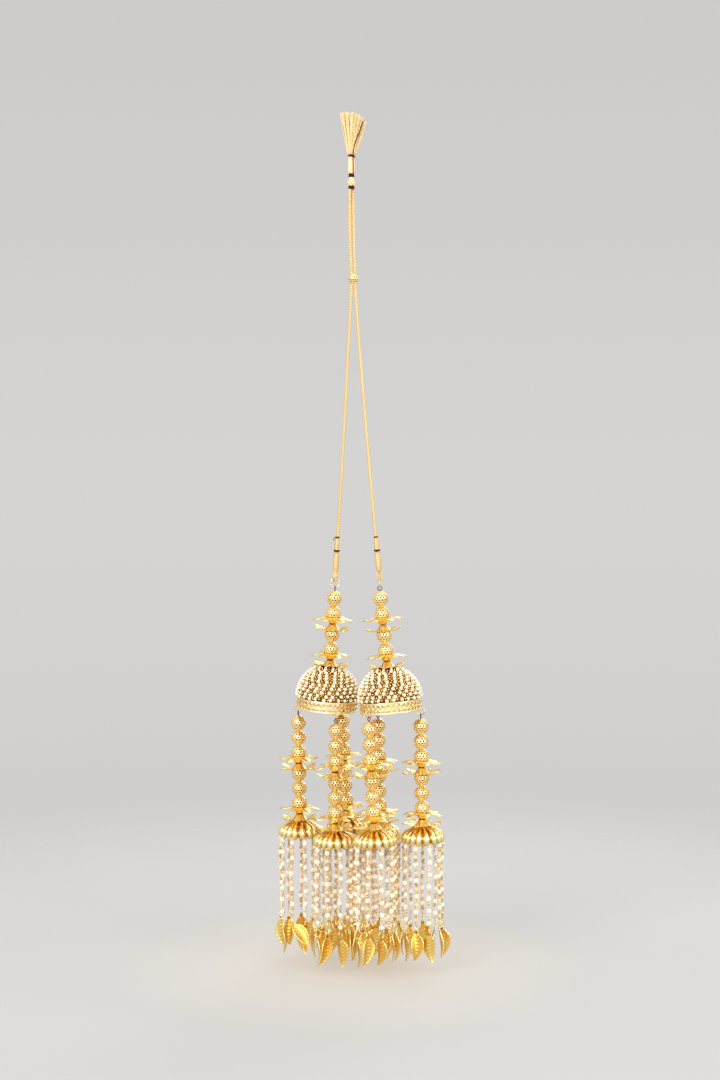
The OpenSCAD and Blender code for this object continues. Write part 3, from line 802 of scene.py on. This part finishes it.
# The shell's profile runs up the outside from the foot to the crown and down the inside
polar = np.radians(np.linspace(1.8, 90, 32))
inner_r = dome_r - dome_wall
foot = band_top - dome_centre
wall = np.repeat([dome_r, inner_r], len(polar))
shell_angle = np.concatenate([polar[::-1], polar])
shell_r = np.concatenate([[inner_r, dome_r], wall * np.sin(shell_angle), [inner_r]])
shell_z = np.concatenate([[foot, foot], wall * np.cos(shell_angle), [foot]]) + dome_centre
# The outside, seen only in the gaps between the pearls, gets a low tone: painted shade between them.
shell_tone = np.where(np.arange(len(shell_r)) > len(polar) + 1, 0.85, 0.2)
shell = lathe(shell_r, shell_z, 80, shell_tone)

from_crown = first_row + row_step * np.arange(pearl_rows)
row_count = np.round(2 * np.pi * dome_r * np.sin(np.radians(from_crown)) / pearl_pitch).astype(int)
row_of = np.repeat(np.arange(pearl_rows), row_count)
pitch = 360 / row_count[row_of]
number = np.concatenate([np.arange(count) for count in row_count])
jitter = chance.uniform(-0.12, 0.12, (2, len(number)))
pearl_at = from_crown[row_of] + row_step * jitter[0], (number + 0.5 * (row_of % 2) + jitter[1]) * pitch
set_pearls = copies(bead(dome_pearl_d, 10, 7, 0.95), *on_dome(*pearl_at, pearl_lift))
gold_parts = [copies(torus(bezel_r, bezel_wire, 10, 4, 0.7), *on_dome(*pearl_at, bezel_lift))]
beside = on_dome(pearl_at[0], pearl_at[1] + pitch / 2, grain_lift)
gold_parts.append(copies(bead(1.2, 6, 5, tone=0.9), *beside))
lower = pearl_at[0] + grain_below
kept = lower < last_grain
for offset in (0.28, 0.72):
    between = on_dome(lower[kept], (pearl_at[1] + pitch * offset)[kept], grain_lift)
    gold_parts.append(copies(bead(1, 6, 4, tone=0.8), *between))
set_gold = joined(gold_parts)


def band_tiles(low, high, hole, outline, down=0.0, offset=0.0):
    """One row of openings round the band: 16-sided rings run from each tile's square border
    to a raised rim, through the wall and back to the border inside. The outline gives a
    hole's reach at each angle; its middle lies this far down, and its tile this far round."""
    angle, circle, square = hole_ring(16)
    edge = square[0] * np.pi / band_columns
    reach = hole * outline(angle) * circle
    steps = (1.12, 1.05, 1, 1, 1.05)
    border = square[1] * (high - low) / 2
    up = (low + high) / 2 + np.stack([border] + [reach[1] * k - down for k in steps] + [border])
    side = np.stack([edge] + [reach[0] * k / band_r for k in steps] + [edge])
    depth = np.array([0, 0, 0.22, -0.1, -dome_wall, -dome_wall, -dome_wall])[:, None]
    # The raised rim round each opening is palest and the dip inside it darkest: painted light and shade of
    # the relief.
    tone = np.array([0.72, 0.6, 1, 0.35, 0.6, 0.8, 0.8])[:, None]
    tile = surface(round_axis(band_r + depth, side, up), tone)
    bearing = 360 / band_columns * (np.arange(band_columns) + offset)
    return copies(tile, np.zeros((band_columns, 3)), turn(Z, bearing))


def circle_outline(angle):
    return 1 + 0 * angle


def triangle_outline(angle):
    """Reach of an upright triangle's sides from its middle."""
    return 0.62 / np.cos((angle - np.pi / 2 + np.pi / 3) % (2 * np.pi / 3) - np.pi / 3)


def diamond_outline(angle):
    return 1 / (np.abs(np.cos(angle)) + np.abs(np.sin(angle)))


def strip(low, high, proud):
    """A plain polished strip round the band, with rounded edges."""
    inner, outer = band_r - dome_wall, band_r + proud
    radii = [inner, band_r, outer, outer, band_r, inner, inner]
    return lathe(radii, [low, low, low + 0.2, high - 0.2, high, high, low], 120, 0.95)


def rope(height):
    """A twisted wire round the band, whose thickness swells at every twist."""
    steps = 4 * rope_twists
    angle = 2 * np.pi * np.arange(steps + 1) / steps
    swell = np.abs(np.sin(rope_twists * angle))
    path = round_axis(band_r + 0.1, angle, height)
    # Its tone falls between the twists: painted shade.
    return tube(path, 0.2 + 0.1 * swell, 6, (0.6 + 0.4 * swell)[:, None])


band = joined([
    strip(rim, rim + 1.4, 0.3),
    band_tiles(rim + 1.4, rim + 3.7, 1.2, triangle_outline, down=0.35),
    band_tiles(rim + 3.7, rim + 4.7, 0.42, diamond_outline, offset=0.5),
    band_tiles(rim + 4.7, rim + 6.9, 0.92, circle_outline),
    strip(rim + 6.9, band_top, 0.35),
    rope(rim + 3.7),
    rope(rim + 6.8),
])
DOME_PIECES = [
    ("dome_shell_", shell, shell_brass, "dome_gold"),
    ("dome_pearls_", set_pearls, pearl_cream, "pearl"),
    ("dome_grains_", set_gold, dome_gold, "dome_gold"),
    ("dome_band_", band, band_gold, "dome_gold"),
]
for side in PENDANTS:
    for prefix, shape, material, slot in DOME_PIECES:
        placed = moved(shape, in_pendant, side)
        piece(prefix + side, placed, material, "pendant_" + side, "dome_" + side)

# Drops: three hang from each dome's band, a pin with six balls and two pairs of flowers over
# a bell. Each is turned by its own angle and hangs a little out of plumb.
ring_r = 2.5
hang = 7.4
band_mid = band_r - dome_wall / 2
# Each drop's dome and bearing round it, its hole's height over the rim, its foot's lean to the
# right in degrees, and the bearing on which no neighbour stands
DROPS = {
    "left_outer": {"side": "left", "bearing": 171, "hole_up": 1.2, "lean": 0.7, "free": 180},
    "left_front": {"side": "left", "bearing": -71, "hole_up": 1.2, "lean": -0.6, "free": -120},
    "left_back": {"side": "left", "bearing": 60.5, "hole_up": 2, "lean": 2.6, "free": 110},
    "right_front": {"side": "right", "bearing": -138, "hole_up": 3.4, "lean": 2.9, "free": -85},
    "right_back": {"side": "right", "bearing": 116, "hole_up": 2.4, "lean": 1, "free": 45},
    "right_outer": {"side": "right", "bearing": -9, "hole_up": 1.2, "lean": 1, "free": 0},
}


def in_drop(name, points):
    """Points of a drop's own frame, whose origin is its first ball, in the part's frame."""
    drop = DROPS[name]
    hole = round_axis(band_mid, np.radians(drop["bearing"]), rim + drop["hole_up"])
    pivot = in_pendant(drop["side"], hole) - [0, 0, 2 * ring_r]
    return pivot + (points - [0, 0, hang]) @ turn(Y, -drop["lean"]).T


for number, name in enumerate(DROPS):
    spins = 40 * number + BALL_SPINS
    dress_pin(name, "drop_" + name, in_drop, DROP_BALLS, spins, DROP_COLLARS, 20 * number)

# Bells: caps of bright thin brass under the drops, fluted like an umbrella. Each of the
# eighteen flutes ends at the rim in a rounded lobe.
bell_top = -65.8
bell_h = 9.9
bell_lobes = 18
# Radius, height over the crown as a share of the bell's, and depth of flutes
BELL_OUTSIDE = [
    (12.6, -1.13, 0.8), (13.3, -1.15, 1.3), (14, -1.08, 1.8), (14.4, -0.96, 2.1), (14.5, -0.81, 2.2),
    (14.3, -0.65, 2.1), (13.6, -0.5, 1.8), (12, -0.37, 1.4), (9.6, -0.25, 1), (7, -0.14, 0.7),
    (5, -0.06, 0.35), (3.9, 0, 0.1), (3.7, 0.03, 0), (0.65, 0.03, 0),
]
BELL_INSIDE = [
    (0.65, -0.1, 0), (3.4, -0.11, 0), (6.2, -0.26, 0.5), (8.6, -0.4, 0.8), (10.8, -0.52, 1.1),
    (12.4, -0.68, 1.3), (12.7, -0.9, 1.2), (12.6, -1.13, 0.8),
]


def bell_shape():
    """A profile turned about the vertical. Its radius is cut back by its flute depth times
    one less a power of |cos| of half the lobes round: 0.6 at the rim, which leaves round
    lobes between sharp furrows, and 3 at the crown, which leaves narrow ribs. Slow waves
    round the bell make the lobes uneven. Between them the rim is also cut up."""
    columns = 10 * bell_lobes
    rows = np.array(BELL_OUTSIDE + BELL_INSIDE)
    step = np.linspace(0, len(rows) - 1, 2 * len(rows) - 1)
    radius, share, flute = (np.interp(step, np.arange(len(rows)), rows[:, k]) for k in range(3))
    angle = round_angles(columns)
    power = np.interp(share, [-0.6, -0.35], [0.6, 3])[:, None]
    furrow = 1 - np.abs(np.cos(bell_lobes / 2 * (angle + 0.07 * np.sin(3 * angle + 1)))) ** power
    furrow *= 1 + 0.2 * np.sin(5 * angle + 2)
    # Painted shade: the tone falls in the furrows, towards the foot of the lobes and over the whole inside.
    tone = 1 - 0.85 * furrow * np.clip(1.5 * flute, 0, 1)[:, None]
    tone *= np.interp(share, [-1.1, -0.85], [0.6, 1])[:, None]
    tone = np.where(step[:, None] > len(BELL_OUTSIDE) - 1, 0.3, tone)
    points, quads, tone = lathe(radius, bell_top + share * bell_h, columns, tone, -flute[:, None] * furrow)
    points[:, 2] += (1.8 * furrow * np.clip(-share / 0.4 - 1.5, 0, 1)[:, None]).ravel()
    return points, quads, tone


bell_gold = gold_finish("bell_gold", 0.16, (0.5, 0.19, 0.008), (1.0, 0.8, 0.28))
bell = bell_shape()
for name in DROPS:
    placed = moved(bell, in_drop, name)
    piece("umbrella_" + name, placed, bell_gold, "drop_" + name, "bell_" + name)

# Pearl strings: nine hang from each bell's rim on thin wire. Cream pearls are spaced with pairs
# of small glass beads, lined with silver in every other string and with gold in the rest, where
# a champagne bead comes between them too.
strings = 9
string_ring = 12.9
string_l = 55
STRING_EXTRA = np.array([0, 1.4, -0.8, 0.6, -1.4, 1.8, -0.4, 1, -1.8])
bell_rim = bell_top - bell_h
rim_gap = 0.3
string_foot = 1
pearl_d = 3.2
champagne_d = 2.3
seed_d = 1.3
seed_step = 0.7
seed_stray = 0.95
string_slack = 0.55
wire_r = 0.22
wire_up = 1.2
first_bead = 0.3
last_bead = 1.6
PLAIN_UNIT = [pearl_d] + [seed_step] * 7
MIXED_UNIT = [pearl_d] + [seed_step] * 4 + [champagne_d] + [seed_step] * 3

champagne, place, _ = new_material("champagne_bead")
lustre = grain(place, 0.003)
finish(
    place,
    Base_Color=lustre.ramp((0.3, (0.85, 0.58, 0.3)), (0.6, (0.97, 0.78, 0.5)), (0.85, (1.0, 0.9, 0.7))),
    Roughness=0.25 - lustre * 0.1,
    Metallic=0.25,
    Coat_Weight=0.5,
    Coat_Roughness=0.1,
)


def seed_glass(name, dark, middle, light, lining):
    """Tiny glass beads, clouded, with a lining that shows through by this much."""
    material, place, _ = new_material(name)
    cloud = grain(place, 0.0015)
    finish(
        place,
        Base_Color=cloud.ramp((0.3, dark), (0.53, middle), (0.8, light)),
        Roughness=0.14 + cloud * 0.1,
        Metallic=lining,
        Coat_Weight=0.7,
        Coat_Roughness=0.05,
    )
    return material


silver_glass = seed_glass("silver_glass", (0.5, 0.38, 0.23), (0.9, 0.78, 0.6), (1.0, 0.96, 0.9), 0.3)
gold_glass = seed_glass("gold_glass", (0.44, 0.24, 0.07), (0.9, 0.65, 0.31), (1.0, 0.9, 0.66), 0.5)

string_bearing = 40 * np.arange(strings) + 8
string_length = string_l + STRING_EXTRA
seed_bead = bead(seed_d, 6, 4, 0.9)
BEADS = {
    "pearls_": (bead(pearl_d, 10, 7), pearl_cream),
    "champagne_": (bead(champagne_d, 8, 6), champagne),
    "silver_seeds_": (seed_bead, silver_glass),
    "gold_seeds_": (seed_bead, gold_glass),
}


def string_tops(name):
    """Where a drop's strings start, just under its bell's rim."""
    return in_drop(name, round_axis(string_ring, np.radians(string_bearing), bell_rim - rim_gap))


def on_string(name, number, top, down):
    """Places this far down a string, which strays sideways in two slow waves, none at its ends."""
    length = string_length[number]
    slack = np.sin(np.pi * np.clip(down / length, 0, 1)) * string_slack
    phase = 2.4 * number + 1.7 * list(DROPS).index(name)
    side = np.sin(down / 9 + phase) + 0.4 * np.sin(down / 3.1 + 2 * phase)
    deep = np.cos(down / 8 + 1.3 * phase)
    return top + np.stack([slack * side, slack * deep, -down], -1)


for name in DROPS:
    body = "drop_" + name
    node = "strings_" + name
    spots = {prefix: [] for prefix in BEADS}
    wires = []
    for number, (top, length) in enumerate(zip(string_tops(name), string_length)):
        odd = number % 2 == 1
        sizes = np.roll(np.tile(PLAIN_UNIT if odd else MIXED_UNIT, 9), number % 4)
        down = sizes.cumsum() - sizes / 2 + first_bead
        fits = down + sizes / 2 < length - last_bead
        sizes, down = sizes[fits], down[fits]
        at = on_string(name, number, top, down)
        spots["pearls_"].append(at[sizes == pearl_d])
        spots["champagne_"].append(at[sizes == champagne_d])
        paired = at[sizes == seed_step]
        twist = 1.1 * np.arange(len(paired)) + number
        away = np.stack([np.cos(twist), np.sin(twist), 0.4 * np.sin(5 * twist)], -1)
        glass = spots["silver_seeds_" if odd else "gold_seeds_"]
        for sign in (-1, 1):
            glass.append(paired + sign * seed_stray * chance.uniform(0.5, 1.1, (len(paired), 1)) * away)
        steps = np.linspace(-wire_up, length - string_foot, 24)
        wires.append(tube(on_string(name, number, top, steps), wire_r, 5, 0.7))
    for prefix, (shape, material) in BEADS.items():
        placed = copies(shape, np.concatenate(spots[prefix]))
        piece(prefix + name, placed, material, body, node)
    piece("wires_" + name, joined(wires), ring_gold, body, node)

# Leaves: a thin stamped brass leaf hangs on a jump ring at the foot of each string. It has a
# raised rib, slanting veins and rim, and is cupped and bent, one way or the other in turn. One
# has caught on its neighbour and lies aslant over it.
leaf_ring_r = 2.4
leaf_ring_wire = 0.3
leaf_l = 20
leaf_bore = 0.5
leaf_lean = 12
LEAF_TURN = np.array([10, -12, 6, -9, 12, -7, 11, -12, 8])
CAUGHT_LEAF = ("left_outer", 6)
caught_curve = -0.8
caught_lean = turn(Y, -20) @ turn(X, 41)


def leaf_shape(way, curve, shade):
    """A leaf that hangs from its hole at the origin: its outline is a tab that widens into a
    sine of the 0.76th power of the length, carried down as a thin closed section. It is bent
    to one side along its length, cupped about its rib, and its tip sweeps out edgewise."""
    rows = 48
    along = np.linspace(0, 1, rows)
    around = round_angles(18)
    across, face = np.cos(around), np.sin(around)
    edge = np.abs(across)
    blade = np.clip((along - 0.09) / 0.91, 0, 1)
    width = np.maximum(4.4 * np.sin(np.pi * blade**0.76) ** 0.85, 1.2 * (along < 0.14))
    width[0] = 0.4
    width[-1] = 0
    veined = (edge < 0.87) * (along > 0.12)[:, None]
    veins = np.abs(np.cos(np.pi * (9 * along[:, None] + 1.5 * edge))) * veined
    rib = np.exp(-((edge / 0.14) ** 2)) * np.ones((rows, 1))
    border = np.clip((edge - 0.84) * 9, 0, 1) * np.ones((rows, 1))
    relief = np.maximum(np.maximum(rib, border), 0.8 * veins)
    thick = np.sign(face) * (0.14 * np.abs(face) ** 0.4 + 0.32 * relief * (np.abs(face) > 0.05))
    side = width[:, None] * across
    cup = 1.5 * np.sin(np.pi * blade)[:, None] * edge**1.5
    bend = 1.5 * np.sin(0.5 * np.pi * blade) ** 2 - 1.1 * blade**4
    side = side + curve * (6.5 * blade**2.4 - 2.6 * blade)[:, None]
    x = way * (bend[:, None] + cup) + thick
    height = leaf_bore + 0.5 - leaf_l * along[:, None] + 0 * side
    points = np.stack([x, side, height], -1)
    # The tone paints shade over the flat of the blade and light on its rib, veins and rim, times the leaf's
    # own random tone.
    return surface(points[::-1, ::-1], shade * (0.08 + 0.92 * relief)[::-1, ::-1])


leaf_gold = gold_finish("leaf_gold", 0.24, (0.74, 0.32, 0.008), (1.0, 0.8, 0.27))
standing_ring = turned(torus(leaf_ring_r, leaf_ring_wire, 20, 6, 0.8), turn(X, 90))
for name, drop in DROPS.items():
    down = string_length - string_foot + leaf_ring_r
    centres = string_tops(name) - down[:, None] * [0, 0, 1]
    free = np.maximum(0, np.cos(np.radians(string_bearing - drop["free"])))
    bearings = string_bearing + LEAF_TURN * (1 + 4 * free)
    turns = turn(Z, bearings)
    leaves = []
    for number in range(strings):
        curve = chance.choice([-1, 1]) * chance.uniform(0.4, 1)
        shade = chance.uniform(0.72, 1.12)
        lean = turn(X, leaf_lean * chance.uniform(-1, 1))
        if (name, number) == CAUGHT_LEAF:
            curve, lean = caught_curve, caught_lean
        leaf = leaf_shape(1 if number % 2 == 0 else -1, curve, shade)
        leaf = turned(turned(leaf, lean), turns[number])
        leaves.append(copies(leaf, centres[number] - [0, 0, leaf_ring_r]))
    shapes = {"leaf_cluster_": joined(leaves), "leaf_rings_": copies(standing_ring, centres, turns)}
    for prefix, shape in shapes.items():
        piece(prefix + name, shape, leaf_gold, "drop_" + name, "leaves_" + name)

# Studio: a round pale floor just under the leaf tips fades into the bright air around it, and
# large soft discs of light stand above the pair and all round it. The floor glows a little all
# over, which lifts the shadow under the pair, and glows warmer within a few centimetres of its
# middle: a painted glow for the gold's warm reflected light.
floor_z = -519
floor_r = 750
fade_from = 0.3
fade_to = 0.7
lit_place = (0, 0, -0.3)

paper, place, _ = new_material("floor_paper")
mottle = grain(place, 0.05)
level = place.make("ShaderNodeVectorMath", {0: place, 1: (1, 1, 0)}, operation="MULTIPLY")
away = level.make("ShaderNodeVectorMath", {0: level}, output=1, operation="LENGTH")
fade = {"Value": away, "From Min": fade_from, "From Max": fade_to, "To Min": 1.0, "To Max": 0.0}
finish(
    place,
    Base_Color=mottle.blend((0.25, 0.247, 0.24), (0.262, 0.259, 0.252)),
    Roughness=0.9,
    # Painted light: the floor's own glow, warmest near the middle under the pair.
    Emission_Color=away.ramp((0.02, (0.4, 0.35, 0.29)), (0.16, (0.27, 0.262, 0.251))),
    Emission_Strength=1.0,
    Alpha=away.make("ShaderNodeMapRange", fade, interpolation_type="SMOOTHSTEP"),
)
piece("floor", lathe([floor_r, 0], [floor_z, floor_z], 64), paper)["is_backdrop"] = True

LIGHTS = [
    ("key", (-1.0, -1.3, 0.5), 1, 17),
    ("fill", (1.3, -1.0, 0.2), 0.8, 8),
    ("front", (-0.1, -1.9, 0), 1.2, 9),
    ("top", (0.1, 0.1, 1.3), 1.4, 8),
    ("back", (0.6, 1.5, 0.3), 1, 8),
]
for name, location, size, power in LIGHTS:
    light = bpy.data.lights.new(name, "AREA")
    light.shape = "DISK"
    light.size = size
    light.energy = power
    lamp = bpy.data.objects.new(name, light)
    lamp.location = location
    lamp.visible_camera = False
    aim = np.array(location) - lit_place
    lamp.rotation_euler = (np.arctan2(np.hypot(aim[0], aim[1]), aim[2]), 0, np.arctan2(aim[0], -aim[1]))
    bpy.context.scene.collection.objects.link(lamp)
world = bpy.data.worlds.new("studio_air")
world.use_nodes = True
world.node_tree.nodes.clear()
start = Shade(world.node_tree)
toward = start.make("ShaderNodeTexCoord", output="Generated")
behind, up = (toward.make("ShaderNodeSeparateXYZ", {"Vector": toward}, output=k) for k in "YZ")
air = (behind * 0.5 + 0.5).ramp((0.3, (0.82, 0.81, 0.795)), (0.9, (0.65, 0.645, 0.635)))
glow = (up * 0.5 + 0.5).ramp(
    *((place, 3 * (grey,)) for place, grey in ((0.3, 0.68), (0.49, 0.79), (0.62, 0.71), (0.8, 1.0)))
)
background = start.make("ShaderNodeBackground", {"Color": air, "Strength": glow * 1.3})
start.make("ShaderNodeOutputWorld", {"Surface": background})
bpy.context.scene.world = world

bpy.context.view_layer.update()
sizes = {"cad": [list(corner) for corner in cad_box], "visual": [list(corner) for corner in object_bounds()]}
